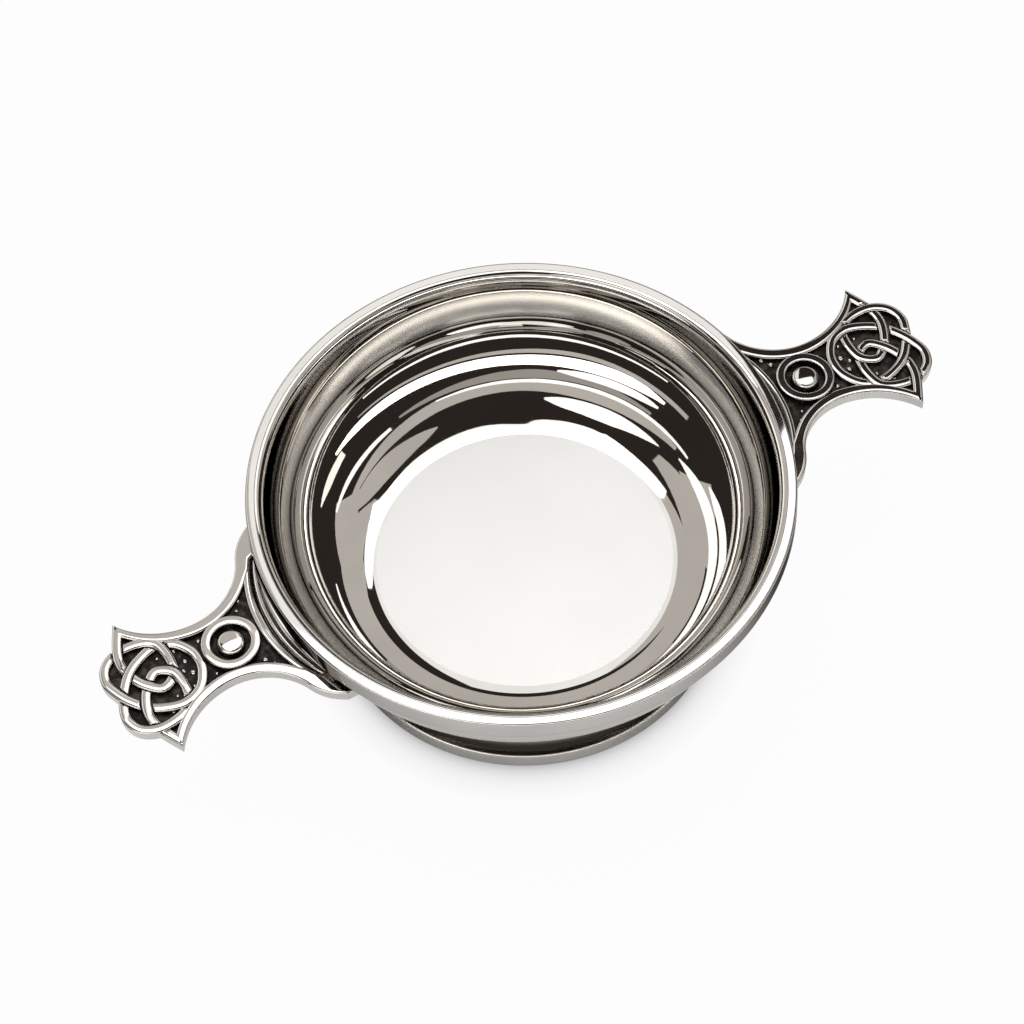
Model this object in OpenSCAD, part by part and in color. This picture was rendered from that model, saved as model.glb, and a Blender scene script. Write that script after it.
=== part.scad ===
// Quaich: a shallow pewter cup with a rim band, a flared foot and two cast lugs with an interlaced strand.
// The cup stands on its foot ring at z = 0, and the lugs lie along X. All sizes are in millimetres.

/* [Bowl] */
// Diameter over the rim band
rim_d = 102; // [90:1:120]
// Height from the table to the top of the rim
height = 39; // [34:0.5:46]
// Diameter of the flat floor inside
floor_d = 60; // [48:1:66]
// Height of the floor's upper face above the table
floor_z = 14.8; // [12.5:0.1:18]
// Thickness of the spun wall
wall = 1.6; // [1.3:0.1:2.2]
// Thickness of the floor
floor_t = 1.8; // [1.4:0.1:2.4]
// Thickness of the lip inside the rim band, which is rounded by as much
lip_w = 1.1; // [0.8:0.1:1.4]

/* [Rim band] */
// Radial thickness of the band
band_w = 1.7; // [1.3:0.1:2.2]
// Height of the band
band_h = 4.1; // [3:0.1:5.5]
// Bevel on the band's two outer edges
band_bevel = 0.35; // [0.2:0.05:0.6]

/* [Foot] */
// Diameter of the foot on the table
foot_d = 73.4; // [68:0.2:80]
// Outer diameter of the neck under the bowl
neck_d = 56.6; // [50:0.2:57]
// Thickness of the foot's wall
foot_wall = 2.1; // [1.6:0.1:2.8]
// Height of the upright lip at the foot's edge
foot_lip_h = 3.2; // [2.4:0.1:4]
// Width of the lip's flat bottom face
foot_lip_w = 2.8; // [2.4:0.1:4]
// Width of the narrow land on top of the lip
foot_land = 1.2; // [0.8:0.1:1.8]
// Bevel on the foot's outer edges
foot_bevel = 0.4; // [0.2:0.05:0.6]

/* [Lug plate] */
// Depth of the lug's top face below the rim, measured under the rim's outer edge
lug_drop = 6.3; // [5.5:0.1:8]
// Angle by which the lug falls outwards
lug_droop = 4.5; // [0:0.5:7]
// Thickness of the lug over its border
lug_t = 2.5; // [2.4:0.1:3.2]
// Depth of the sunk ground below the border
relief = 1.1; // [0.7:0.1:1.2]
// Width of the lug at its waist
waist_w = 14.4; // [13.4:0.1:16]
// Distance of the waist from the rim's outer edge
waist_x = 13; // [12:0.1:14]
// Radius of the waist curve towards the bowl
waist_in_r = 13; // [12:0.5:14]
// Radius of the waist curve towards the tip
waist_out_r = 16; // [15.5:0.5:17.5]
// Radius of the toe's curve, from the waist to the bowl
toe_r = 18; // [16:0.5:20]
// Width of the lug over the ends of its two toes
toe_w = 43.4; // [41:0.2:45]
// Distance of the two pointed corners from the rim's outer edge
cusp_x = 26.6; // [26:0.1:27.2]
// Width of the raised border
border_w = 1.6; // [1.2:0.1:1.8]
// Radius of the inner border's curve
inner_r = 27; // [24:1:32]
// Distance of the inner border's crest from the rim's outer edge
inner_x = 3.6; // [3:0.1:3.9]
// Width of the inner border
inner_w = 1; // [0.7:0.1:1.4]

/* [Boss] */
// Distance of the boss ring's centre from the rim's outer edge
ring_x = 9.4; // [9.2:0.1:9.6]
// Outer diameter of the boss ring
ring_d = 10.8; // [9.8:0.1:11]
// Wall of the boss ring
ring_wall = 1.4; // [1:0.1:1.8]
// Height of the boss ring above the border
ring_rise = 0.4; // [0.2:0.1:0.8]
// Diameter of the bead
bead_d = 5.2; // [4:0.1:5.8]
// Height of the bead's dome
bead_h = 1.7; // [1.2:0.1:2]
// Diameter of the bead's peg
peg_d = 2.4; // [1.8:0.1:3]
// Length of the bead's peg
peg_l = 1; // [0.6:0.1:1.1]

/* [Interlace] */
// Width of one square of the grid that the interlace is drawn on
knot_grid_w = 1; // [0.96:0.01:1.04]
// Distance of the interlace's inner end from the rim's outer edge
knot_x = 16; // [15.6:0.1:16.4]
// Width of the strand
strand_w = 1.5; // [1.1:0.1:1.6]
// Gap left on both sides of the strand that passes over
weave_gap = 0.25; // [0.15:0.05:0.4]
// Depth of the strand's top below the border
strand_drop = 0.1; // [0.05:0.05:0.3]
// Ledge of the plate outside the strand and the border
ledge = 0.15; // [0.1:0.05:0.3]

/* [Joints] */
// Gap between a lug and the bowl's wall, filled with solder
solder_gap = 0.1; // [0.05:0.05:0.2]
// Clearance round the bead's peg, and under its end
peg_gap = 0.05; // [0.03:0.01:0.1]
// Leg of the solder fillet under a lug
lug_fillet = 1.6; // [1:0.1:2.4]
// Half of the angle that a lug's fillet takes round the bowl
seam_a = 20; // [12:1:22]
// Leg of the solder seam round the foot's neck
foot_fillet = 0.6; // [0.4:0.1:0.9]

/* [Hidden] */
$fn = 240;

pewter = [0.80, 0.79, 0.77];
cast_pewter = [0.70, 0.68, 0.65];
solder = [0.62, 0.61, 0.60];
over = 1; // how far a cutting shape runs past what it cuts

// Bowl profile: one arc from the edge of the floor to an upright lip
rim_r = rim_d / 2;
seat_r = rim_r - band_w;
seat_z = height - band_h;
lip_r = seat_r - lip_w;
lip_z = height - lip_w;
under_z = floor_z - floor_t;
wall_run = lip_r - floor_d / 2;
wall_rise = lip_z - floor_z;
wall_r = (wall_run ^ 2 + wall_rise ^ 2) / (2 * wall_run);
arc_x = lip_r - wall_r;
function outer_wall_x(z) = arc_x + sqrt((wall_r + wall) ^ 2 - (lip_z - z) ^ 2);

// Foot profile: a cove from the upright neck to the land on the lip
foot_r = foot_d / 2;
neck_r = neck_d / 2;
land_r = foot_r - foot_land;
cove_run = land_r - neck_r;
cove_r = cove_run + foot_land;
cove_x = neck_r + cove_r;
cove_z = foot_lip_h + sqrt(cove_r ^ 2 - (cove_x - land_r) ^ 2);

// Lug plan: x is measured outwards from the rim's outer edge, and z = 0 is the border's top face
ground_z = -relief;
waist_y = waist_w / 2;
waist_in_c = [waist_x, waist_y + waist_in_r];
waist_out_c = [waist_x, waist_y + waist_out_r];
toe_a = 203; // direction from the inner waist centre to the toe's centre
toe_y = toe_w / 2;
root_x = -wall_r / 2; // where the plate ends inside the bowl, before the bowl's wall cuts it
toe_c = waist_in_c + (waist_in_r + toe_r) * turn(toe_a);
cusp_a = 270 + asin((cusp_x - waist_x) / waist_out_r);
border_end_a = cusp_a - 6; // where the border's inner edge runs into the strand
arc_steps = 14;

// Half of the strand's course from a pointed corner to the inner end, on the grid of the interlace
knot_half = [
    [12.3, 9.4], [13, 6], [12.3, 3], [10.7, 0.2], [8.1, -1.9], [5.3, -0.3], [4.6, 3], [5.1, 6.4],
    [6.5, 8.1], [9.5, 9.1], [13, 9], [15.8, 7.3], [16.9, 4.4], [16.2, 1.5], [14.8, -1.2],
    [12.5, -4], [9.5, -5.8], [6, -6.7], [2.7, -5.6], [0.6, -2.8], [0, 0]
];
knot_steps = 5; // points of the smooth curve in each step of the course
cusp_inset = 1.6; // from a corner's tip to the strand's first point
end_steps = 8; // points of a stretch that can lie beside the strand over its end

function turn(a) = [cos(a), sin(a)];
function arc(c, r, a0, a1) = [for (i = [0:arc_steps]) c + r * turn(a0 + (a1 - a0) * i / arc_steps)];
function flipped(pts) = [for (i = [len(pts) - 1:-1:0]) [pts[i].x, -pts[i].y]];
function after_first(pts) = [for (i = [1:len(pts) - 1]) pts[i]];
function reversed(pts) = [for (i = [len(pts) - 1:-1:0]) pts[i]];
function unit(v) = v / norm(v);
function cross2(a, b) = a.x * b.y - a.y * b.x;
function left_of(v) = [-v.y, v.x];

// One side of the lug from its root past the toe and the waist to the direction end_a, set in by g
function side(g, end_a) = concat(
    [[root_x, toe_y - g]],
    arc(toe_c, toe_r - g, asin((toe_y - g - toe_c.y) / (toe_r - g)), toe_a - 180),
    after_first(arc(waist_in_c, waist_in_r + g, toe_a, 270)),
    after_first(arc(waist_out_c, waist_out_r + g, 270, end_a))
);

// The strand's course, corner to corner, as a smooth curve through the grid points
cusp = waist_out_c + waist_out_r * turn(cusp_a);
half_course = concat(
    [cusp + cusp_inset * unit([knot_x, 0] + knot_grid_w * knot_half[0] - cusp)],
    [for (p = knot_half) [knot_x, 0] + knot_grid_w * p]
);
course = concat(half_course, after_first(flipped(half_course)));
function spline(p0, p1, p2, p3, t) =
    p1 + 0.5 * t * (p2 - p0 + t * (2 * p0 - 5 * p1 + 4 * p2 - p3 + t * (3 * (p1 - p2) + p3 - p0)));
spans = len(course) - 1;
path = concat(
    [for (i = [0:spans - 1], k = [0:knot_steps - 1])
        spline(course[max(i - 1, 0)], course[i], course[i + 1], course[min(i + 2, spans)], k / knot_steps)],
    [course[spans]]
);
last = len(path) - 1;
function heading(i) = unit(path[min(i + 1, last)] - path[max(i - 1, 0)]);
function edge_point(i, offset) = path[i] + offset * left_of(heading(i));

// Where the course meets itself, in the order in which the strand gets there: [place on it, the other place]
function meet(i, j) =
    let (p = path[i], r = path[i + 1] - p, q = path[j], s = path[j + 1] - q, den = cross2(r, s))
    abs(den) < 1e-9 ? [] :
    let (t = cross2(q - p, s) / den, u = cross2(q - p, r) / den)
    t >= 0 && t < 1 && u >= 0 && u < 1 ? [i + t, j] : [];
visits = [
    for (i = [0:last - 1], j = [0:last - 1], m = [abs(i - j) > 2 ? meet(i, j) : []])
        if (len(m) > 0) m
];

// The strand goes under at every other meeting, so it is drawn in stretches from one such place to the next
unders = [for (k = [0:2:len(visits) - 1]) visits[k]];
stretches = len(unders);
half_w = strand_w / 2;
function place(s) = path[floor(s)] + (s - floor(s)) * (path[floor(s) + 1] - path[floor(s)]);
// Direction out from under the strand that passes over, where way is 1 after the meeting and -1 before it
function out_of(meeting, way) =
    let (over_heading = heading(meeting[1]))
    left_of(over_heading) * sign(way * cross2(over_heading, heading(round(meeting[0]))));
function is_clear(meeting, way, p) = (p - place(meeting[0])) * out_of(meeting, way) > half_w + weave_gap;
// Corner of a stretch's end beside the strand over it, where hand is 1 on the left and -1 on the right
function end_corner(meeting, hand, way) =
    let (d = heading(round(meeting[0])), n = left_of(d), m = out_of(meeting, way))
    place(meeting[0]) + hand * half_w * n + (half_w + weave_gap - hand * half_w * (n * m)) / (d * m) * d;
function stretch_edge(k, hand) =
    let (first = k == 0 ? 0 : ceil(unders[k - 1][0]), final = k == stretches ? last : floor(unders[k][0]))
    concat(
        k == 0 ? [] : [end_corner(unders[k - 1], hand, 1)],
        [for (i = [first:final], p = [edge_point(i, hand * half_w)])
            if ((k == 0 || i > first + end_steps || is_clear(unders[k - 1], 1, p))
                && (k == stretches || i < final - end_steps || is_clear(unders[k], -1, p))) p],
        k == stretches ? [] : [end_corner(unders[k], hand, -1)]
    );
function stretch(k) = concat(stretch_edge(k, 1), reversed(stretch_edge(k, -1)));

// The strand is the lug's own edge from a corner to the middle of the tip
function plate_edge(first, final) = [for (i = [first:final]) edge_point(i, half_w + ledge)];
half_outline = concat(
    side(0, cusp_a),
    plate_edge(0, floor(visits[0][0]) - 2),
    [for (p = plate_edge(ceil(visits[5][0]) + 1, floor(visits[6][0]))) if (p.y > 0) p]
);

// Solid of everything inside the bowl's outer face, grown by g
module bowl_body(g) {
    rotate_extrude() {
        intersection() {
            union() {
                translate([arc_x, lip_z]) circle(r = wall_r + wall + g);
                square([arc_x, lip_z]);
            }
            translate([0, under_z]) square([rim_r, lip_z - under_z]);
        }
    }
}

module bowl() {
    color(pewter) rotate_extrude() difference() {
        intersection() {
            union() {
                translate([arc_x, lip_z]) circle(r = wall_r + wall);
                square([arc_x, height]);
                translate([arc_x, lip_z]) square([rim_r, lip_w]);
            }
            translate([0, under_z]) square([rim_r, height - under_z]);
        }
        intersection() {
            union() {
                translate([arc_x, lip_z]) circle(r = wall_r);
                square([arc_x, height + over]);
                translate([arc_x, lip_z]) square([wall_r, lip_w + over]);
            }
            translate([0, floor_z]) square([rim_r, height + over - floor_z]);
        }
        difference() {
            translate([lip_r - over, lip_z]) square([lip_w + over, lip_w + over]);
            translate([seat_r, lip_z]) circle(r = lip_w);
        }
        translate([seat_r, seat_z]) square([band_w + over, band_h + over]);
    }
}

module rim_band() {
    color(pewter) rotate_extrude() polygon([
        [seat_r, seat_z], [rim_r - band_bevel, seat_z], [rim_r, seat_z + band_bevel],
        [rim_r, height - band_bevel], [rim_r - band_bevel, height], [seat_r, height]
    ]);
}

module foot_ring() {
    color(pewter) rotate_extrude() difference() {
        union() {
            intersection() {
                translate([cove_x, cove_z]) circle(r = cove_r + foot_wall);
                translate([neck_r - foot_wall, 0]) square([land_r - neck_r + foot_wall, cove_z]);
            }
            translate([neck_r - foot_wall, cove_z]) square([foot_wall, under_z - cove_z]);
            polygon([
                [foot_r - foot_lip_w, 0], [foot_r - foot_bevel, 0], [foot_r, foot_bevel],
                [foot_r, foot_lip_h - foot_bevel], [foot_r - foot_bevel, foot_lip_h],
                [foot_r - foot_lip_w, foot_lip_h]
            ]);
        }
        intersection() {
            translate([cove_x, cove_z]) circle(r = cove_r);
            translate([neck_r, 0]) square([land_r - neck_r, cove_z]);
        }
    }
}

module foot_solder() {
    color(solder) rotate_extrude() polygon([
        [neck_r, under_z], [neck_r, under_z - foot_fillet], [neck_r + foot_fillet, under_z]
    ]);
}

module on_lug() {
    translate([rim_r, 0, height - lug_drop]) rotate([0, lug_droop, 0]) children();
}

module raised(top) {
    translate([0, 0, ground_z - relief / 2]) linear_extrude(height = top - ground_z + relief / 2) children();
}

module casting() {
    plate = concat(half_outline, flipped(half_outline));
    translate([0, 0, -lug_t]) linear_extrude(height = lug_t - relief) polygon(plate);
    band = concat(side(ledge, cusp_a), reversed(side(ledge + border_w, border_end_a)));
    raised(0) polygon(band);
    raised(0) polygon(flipped(band));
    raised(-strand_drop) difference() {
        translate([inner_x - inner_r, 0]) circle(r = inner_r);
        translate([inner_x - inner_r, 0]) circle(r = inner_r - inner_w);
        translate([inner_x - 3 * inner_r, -inner_r]) square([2 * inner_r, 2 * inner_r]);
    }
    raised(-strand_drop) for (k = [0:stretches]) polygon(stretch(k));
    translate([ring_x, 0, ground_z - relief / 2]) cylinder(d = ring_d, h = ring_rise + 1.5 * relief);
}

module lug() {
    difference() {
        on_lug() difference() {
            casting();
            translate([ring_x, 0, ground_z])
                cylinder(d = ring_d - 2 * ring_wall, h = relief + ring_rise + over);
            translate([ring_x, 0, ground_z - peg_l - peg_gap])
                cylinder(d = peg_d + 2 * peg_gap, h = lug_t);
        }
        bowl_body(solder_gap);
    }
}

module bead() {
    dome_r = ((bead_d / 2) ^ 2 + bead_h ^ 2) / (2 * bead_h);
    on_lug() translate([ring_x, 0, ground_z]) rotate_extrude() {
        intersection() {
            translate([0, bead_h - dome_r]) circle(r = dome_r);
            square([bead_d, bead_h]);
        }
        translate([0, -peg_l]) square([peg_d / 2, peg_l]);
    }
}

module lug_right() { color(cast_pewter) lug(); }
module lug_left() { color(cast_pewter) rotate(180) lug(); }
module bead_right() { color(pewter) bead(); }
module bead_left() { color(pewter) rotate(180) bead(); }

// Fillet in the corner between the bowl's wall and the lug's underside
module lug_fillet_seam() {
    lug_under_z = height - lug_drop - lug_t;
    fillet_z = lug_under_z - lug_fillet;
    wall_x = outer_wall_x(lug_under_z);
    difference() {
        rotate([0, 0, -seam_a]) rotate_extrude(angle = 2 * seam_a) difference() {
            polygon([
                [outer_wall_x(fillet_z), fillet_z], [wall_x + lug_fillet, lug_under_z],
                [wall_x + lug_fillet, height - lug_drop], [wall_x - wall, height - lug_drop],
                [wall_x - wall, fillet_z]
            ]);
            translate([arc_x, lip_z]) circle(r = wall_r + wall);
        }
        on_lug() translate([-rim_r, -rim_r, -lug_t]) cube([2 * rim_r, 2 * rim_r, height]);
    }
}

module lug_solder_right() { color(solder) lug_fillet_seam(); }
module lug_solder_left() { color(solder) rotate(180) lug_fillet_seam(); }

bowl();
rim_band();
foot_ring();
foot_solder();
lug_right();
lug_left();
bead_right();
bead_left();
lug_solder_right();
lug_solder_left();
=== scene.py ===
import math

import bmesh
import bpy
from mathutils import Matrix, Vector


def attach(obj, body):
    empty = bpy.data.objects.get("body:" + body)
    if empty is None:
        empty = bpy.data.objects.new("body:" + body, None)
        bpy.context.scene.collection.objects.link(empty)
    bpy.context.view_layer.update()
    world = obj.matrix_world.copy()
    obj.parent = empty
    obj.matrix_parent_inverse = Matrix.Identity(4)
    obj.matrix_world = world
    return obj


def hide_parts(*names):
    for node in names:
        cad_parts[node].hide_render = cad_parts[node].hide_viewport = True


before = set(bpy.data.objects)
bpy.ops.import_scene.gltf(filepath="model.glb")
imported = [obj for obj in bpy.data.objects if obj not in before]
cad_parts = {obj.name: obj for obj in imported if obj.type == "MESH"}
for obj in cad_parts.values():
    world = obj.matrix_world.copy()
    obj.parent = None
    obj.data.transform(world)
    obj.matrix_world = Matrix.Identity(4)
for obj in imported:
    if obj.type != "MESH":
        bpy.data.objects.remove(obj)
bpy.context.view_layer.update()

mm = 0.001
scene = bpy.context.scene
scene.view_settings.view_transform = "Standard"


class Wire:
    # an output socket that takes part in sums
    def __init__(self, net, socket):
        self.net = net
        self.socket = socket

    def join(self, operation, first, second):
        return self.net.node("ShaderNodeMath", {"operation": operation}, {0: first, 1: second})

    def __add__(self, other):
        return self.join("ADD", self, other)

    def __radd__(self, other):
        return self.join("ADD", other, self)

    def __sub__(self, other):
        return self.join("SUBTRACT", self, other)

    def __rsub__(self, other):
        return self.join("SUBTRACT", other, self)

    def __mul__(self, other):
        return self.join("MULTIPLY", self, other)

    def __rmul__(self, other):
        return self.join("MULTIPLY", other, self)


class Net:
    # a node tree, of a material, of the world or of a Geometry Nodes group
    def __init__(self, tree):
        self.tree = tree

    def node(self, kind, settings=None, sockets=None, output=0):
        made = self.tree.nodes.new(kind)
        for key, value in (settings or {}).items():
            setattr(made, key, value)
        for key, value in (sockets or {}).items():
            if isinstance(value, Wire):
                self.tree.links.new(value.socket, made.inputs[key])
            else:
                made.inputs[key].default_value = value
        return Wire(self, made.outputs[output]) if made.outputs else made

    def blend(self, mask, first, second):  # a colour from first to second
        return self.node(
            "ShaderNodeMix", {"data_type": "RGBA"}, {0: mask, 6: first, 7: second}, output=2
        )

    def step(self, value, low, high):  # a smooth rise from 0 at low to 1 at high
        return self.node(
            "ShaderNodeMapRange",
            {"interpolation_type": "SMOOTHSTEP"},
            {"Value": value, "From Min": low, "From Max": high},
        )

    def noise(self, place, scale, detail):
        return self.node(
            "ShaderNodeTexNoise", None, {"Vector": place, "Scale": scale, "Detail": detail}
        )


def newFinish(name):
    material = bpy.data.materials.new(name)
    material.use_nodes = True
    material.node_tree.nodes.clear()
    return material, Net(material.node_tree)


def closeFinish(net, shader):
    net.node("ShaderNodeOutputMaterial", None, {"Surface": shader})


def closeMetal(net, tone, rough, height, bump, metallic=1.0, more=None):  # bump: strength and depth
    normal = net.node("ShaderNodeBump", None, {"Strength": bump[0], "Distance": bump[1], "Height": height})
    sockets = {"Base Color": tone, "Metallic": metallic, "Roughness": rough, "Normal": normal}
    closeFinish(net, net.node("ShaderNodeBsdfPrincipled", None, {**sockets, **(more or {})}))


def objectPlace(net):
    return net.node("ShaderNodeTexCoord", output="Object")


def radiusOf(net, place):  # distance from the cup's axis, in millimetres
    flat = net.node("ShaderNodeVectorMath", {"operation": "MULTIPLY"}, {0: place, 1: (1 / mm, 1 / mm, 0)})
    return net.node("ShaderNodeVectorMath", {"operation": "LENGTH"}, {0: flat}, output="Value")


bowl = {
    "rim": 51.0,
    "height": 39.0,
    "floor": 30.0,
    "floorTop": 14.8,
    "wall": 1.6,
    "wallTurn": 56.0,  # the slope from which the wall turns upright faster
    "wallSteps": 72,
    "browSteps": 40,
    "under": 13.0,
    "underMiddle": 14.0,
    "underEdge": 0.3,
    "lip": 1.1,
    "lipRound": 1.7,
    "lipSteps": 24,
    "band": 1.7,
    "bandHeight": 4.1,
    "bandEdges": (0.1, 0.35, 0.45),  # rounding at the seat, below and on top
    "dishEdge": 28.0,  # where the floor begins to turn up
    "dishSlope": 1.8,
    "dishSag": 0.45,
    "dishSteps": 24,
    "blendAngle": 16.0,
    "blendSteps": 40,
    "outerSteps": 48,
    "satin": 27.9,
    "hairline": 0.07,
    "seatGap": 0.01,
}
seatRadius = bowl["rim"] - bowl["band"]
seatHeight = bowl["height"] - bowl["bandHeight"]
lipRadius = seatRadius - bowl["lip"]
lipHeight = bowl["height"] - bowl["lip"]
wallRun = lipRadius - bowl["floor"]
wallRise = lipHeight - bowl["floorTop"]
wallRadius = (wallRun ** 2 + wallRise ** 2) / (2 * wallRun)
wallCentre = Vector((lipRadius - wallRadius, lipHeight))
outerRadius = wallRadius + bowl["wall"]

pewter = {
    "bright": (0.73, 0.715, 0.69, 1.0),
    "dull": (0.67, 0.653, 0.627, 1.0),
    "edge": (0.1, 0.095, 0.09, 1.0),  # reflection at grazing angles
    "edgeOutside": (1.0, 0.98, 0.95, 1.0),
    "smooth": 0.02,
    "smoothBead": 0.03,
    "smear": 0.025,
    "haze": (55.0, 4.0),  # a noise's scale and detail
    "hazeTone": (0.35, 0.7),
    "hazeSmear": (0.4, 0.8),
    "spin": {"Scale": 3.1, "Detail": 3.0},
    "bump": (0.02, 0.00002),
    # painted shade: the near-black tone and its heights and radii for the hollow above the foot
    "paintedShade": (0.07, 0.062, 0.055, 1.0),
    "paintedShadeTop": (14.6, 16.4),
    "paintedShadeIn": (27.5, 28.0),
    "paintedShadeRough": 0.2,
}


def polishedFinish(name, smooth=pewter["smooth"], outside=False):
    material, net = newFinish(name)
    place = objectPlace(net)
    radius = radiusOf(net, place)
    haze = net.noise(place, *pewter["haze"])
    spin = net.node("ShaderNodeTexNoise", {"noise_dimensions": "1D"}, {"W": radius, **pewter["spin"]})
    tone = net.blend(net.step(haze, *pewter["hazeTone"]), pewter["bright"], pewter["dull"])
    rough = smooth + pewter["smear"] * net.step(haze, *pewter["hazeSmear"])
    if outside:  # painted shade: the underside in the hollow between the bowl and its foot is darkened nearly to black and roughened
        height = 1 / mm * net.node("ShaderNodeSeparateXYZ", None, {0: place}, output=2)
        paintedShade = (1 - net.step(height, *pewter["paintedShadeTop"])) * net.step(radius, *pewter["paintedShadeIn"])
        tone = net.blend(paintedShade, tone, pewter["paintedShade"])
        rough = rough + pewter["paintedShadeRough"] * paintedShade
    edge = pewter["edgeOutside" if outside else "edge"]
    closeMetal(net, tone, rough, spin, pewter["bump"], more={"Specular Tint": edge})
    return material


satin = {
    "tone": (0.71, 0.704, 0.692, 1.0),
    "shade": (0.689, 0.683, 0.671, 1.0),
    "rough": 0.2,
    "grainRough": 0.05,
    "metallic": 0.78,
    "haze": (60.0, 3.0),
    "hazeTone": (0.3, 0.75),
    "grain": (5200.0, 2.0),
    "bump": (0.05, 0.00002),
}


def satinFinish():
    material, net = newFinish("satinFloor")
    place = objectPlace(net)
    haze = net.noise(place, *satin["haze"])
    grain = net.noise(place, *satin["grain"])
    tone = net.blend(net.step(haze, *satin["hazeTone"]), satin["tone"], satin["shade"])
    rough = satin["rough"] + satin["grainRough"] * grain
    closeMetal(net, tone, rough, grain, satin["bump"], satin["metallic"])
    return material


cast = {
    "bright": (0.73, 0.715, 0.69, 1.0),
    "dull": (0.66, 0.642, 0.615, 1.0),
    "smooth": 0.035,
    "smear": 0.04,
    "haze": (260.0, 4.0),
    "hazeTone": (0.35, 0.75),
    "hazeSmear": (0.4, 0.75),
    "grain": (1500.0, 3.0),
    "bump": (0.02, 0.00002),
}


def castFinish():
    material, net = newFinish("castPewter")
    place = objectPlace(net)
    haze = net.noise(place, *cast["haze"])
    grain = net.noise(place, *cast["grain"])
    tone = net.blend(net.step(haze, *cast["hazeTone"]), cast["bright"], cast["dull"])
    rough = cast["smooth"] + cast["smear"] * net.step(haze, *cast["hazeSmear"])
    closeMetal(net, tone, rough, grain, cast["bump"])
    return material


oxide = {
    "deep": (0.012, 0.010, 0.009, 1.0),
    "worn": (0.075, 0.062, 0.052, 1.0),
    "rough": 0.32,
    "grainRough": 0.3,
    "metallic": 0.75,
    "lumps": (700.0, 3.0),
    "lumpTone": (0.4, 0.75),
    "grain": (3200.0, 4.0),
    "grainHeight": 0.35,
    "bump": (0.5, 0.0002),
}


def groundFinish():
    material, net = newFinish("oxidisedGround")
    place = objectPlace(net)
    lumps = net.noise(place, *oxide["lumps"])
    grain = net.noise(place, *oxide["grain"])
    tone = net.blend(net.step(lumps, *oxide["lumpTone"]), oxide["deep"], oxide["worn"])
    rough = oxide["rough"] + oxide["grainRough"] * grain
    height = lumps + oxide["grainHeight"] * grain
    closeMetal(net, tone, rough, height, oxide["bump"], oxide["metallic"])
    return material


solder = {
    "pale": (0.66, 0.65, 0.63, 1.0),
    "dull": (0.50, 0.49, 0.47, 1.0),
    "rough": 0.22,
    "lumpRough": 0.18,
    "lumps": (420.0, 3.0),
    "lumpTone": (0.3, 0.7),
    "bump": (0.3, 0.0002),
}


def solderFinish():
    material, net = newFinish("solderGrey")
    lumps = net.noise(objectPlace(net), *solder["lumps"])
    tone = net.blend(net.step(lumps, *solder["lumpTone"]), solder["pale"], solder["dull"])
    rough = solder["rough"] + solder["lumpRough"] * lumps
    closeMetal(net, tone, rough, lumps, solder["bump"])
    return material


outsideFinish = polishedFinish("polishedOutside", outside=True)
floorFinish = satinFinish()
pewterFinish = polishedFinish("polishedPewter")
beadFinish = polishedFinish("polishedBead", smooth=pewter["smoothBead"])
reliefFinish = castFinish()
darkFinish = groundFinish()
seamFinish = solderFinish()
print("finishes made")


def newObject(name, data):
    made = bpy.data.objects.new(name, data)
    scene.collection.objects.link(made)
    return made


def plainMesh(mesh, name, *materials):  # a finished mesh from a bmesh
    made = bpy.data.meshes.new(name)
    mesh.to_mesh(made)
    mesh.free()
    for material in materials:
        made.materials.append(material)
    return made


def newPiece(name, mesh, node):
    piece = newObject(name, mesh)
    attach(piece, "root")
    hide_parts(node)


def smoothStep(part):  # a soft rise from 0 to 1
    return part * part * (3 - 2 * part)


def spoke(turn):  # a unit step at an angle in degrees
    return Vector((math.cos(math.radians(turn)), math.sin(math.radians(turn))))


def arcPoints(centre, radius, start, end, steps):  # angles in degrees
    turns = [math.radians(start + (end - start) * i / steps) for i in range(steps + 1)]
    return [Vector((centre[0] + radius * math.cos(t), centre[1] + radius * math.sin(t))) for t in turns]


def rounded(corners, steps=6):  # corners are (x, y) or (x, y, rounding), in a closed loop
    made = []
    for i, corner in enumerate(corners):
        here = Vector(corner[:2])
        if len(corner) == 2:
            made.append(here)
            continue
        before = Vector(corners[i - 1][:2])
        after = Vector(corners[(i + 1) % len(corners)][:2])
        inward = (before - here).normalized()
        onward = (after - here).normalized()
        half = inward.angle(onward) / 2
        centre = here + (inward + onward).normalized() * corner[2] / math.sin(half)
        first = here + inward * corner[2] / math.tan(half) - centre
        last = here + onward * corner[2] / math.tan(half) - centre
        sweep = first.angle_signed(last)
        for k in range(steps + 1):
            arm = first.copy()
            arm.rotate(Matrix.Rotation(-sweep * k / steps, 2))
            made.append(centre + arm)
    return made


def spunMesh(name, outline, material, steps=256, closed=True, place=None, unit=mm):
    # the outline runs with the metal on its left
    count = len(outline)
    mesh = bmesh.new()
    rings = []
    normals = []
    for i, point in enumerate(outline):
        before = outline[i - 1] if closed or i > 0 else outline[0]
        after = outline[(i + 1) % count] if closed or i < count - 1 else outline[-1]
        along = (after - before).normalized()
        out, up = along.y, -along.x
        turns = steps if point.x > 1e-6 else 1  # one vertex on the axis
        ring = []
        for j in range(turns):
            angle = 2 * math.pi * j / turns
            co = Vector((point.x * math.cos(angle), point.x * math.sin(angle), point.y))
            lean = Vector((out * math.cos(angle), out * math.sin(angle), up))
            if turns == 1:
                lean = Vector((0, 0, math.copysign(1, up)))
            if place:
                co = place @ co
                lean = place.to_3x3() @ lean
            ring.append(mesh.verts.new(co * unit))
            normals.append(lean.normalized())
        rings.append(ring)
    for i in range(count if closed else count - 1):
        here = rings[i]
        there = rings[(i + 1) % count]
        for j in range(steps):
            corners = ((here, j), (here, j + 1), (there, j + 1), (there, j))
            loop = dict.fromkeys(ring[k % len(ring)] for ring, k in corners)
            mesh.faces.new(list(loop)).smooth = True
    made = plainMesh(mesh, name, material)
    made.normals_split_custom_set_from_vertices(normals)
    return made


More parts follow.
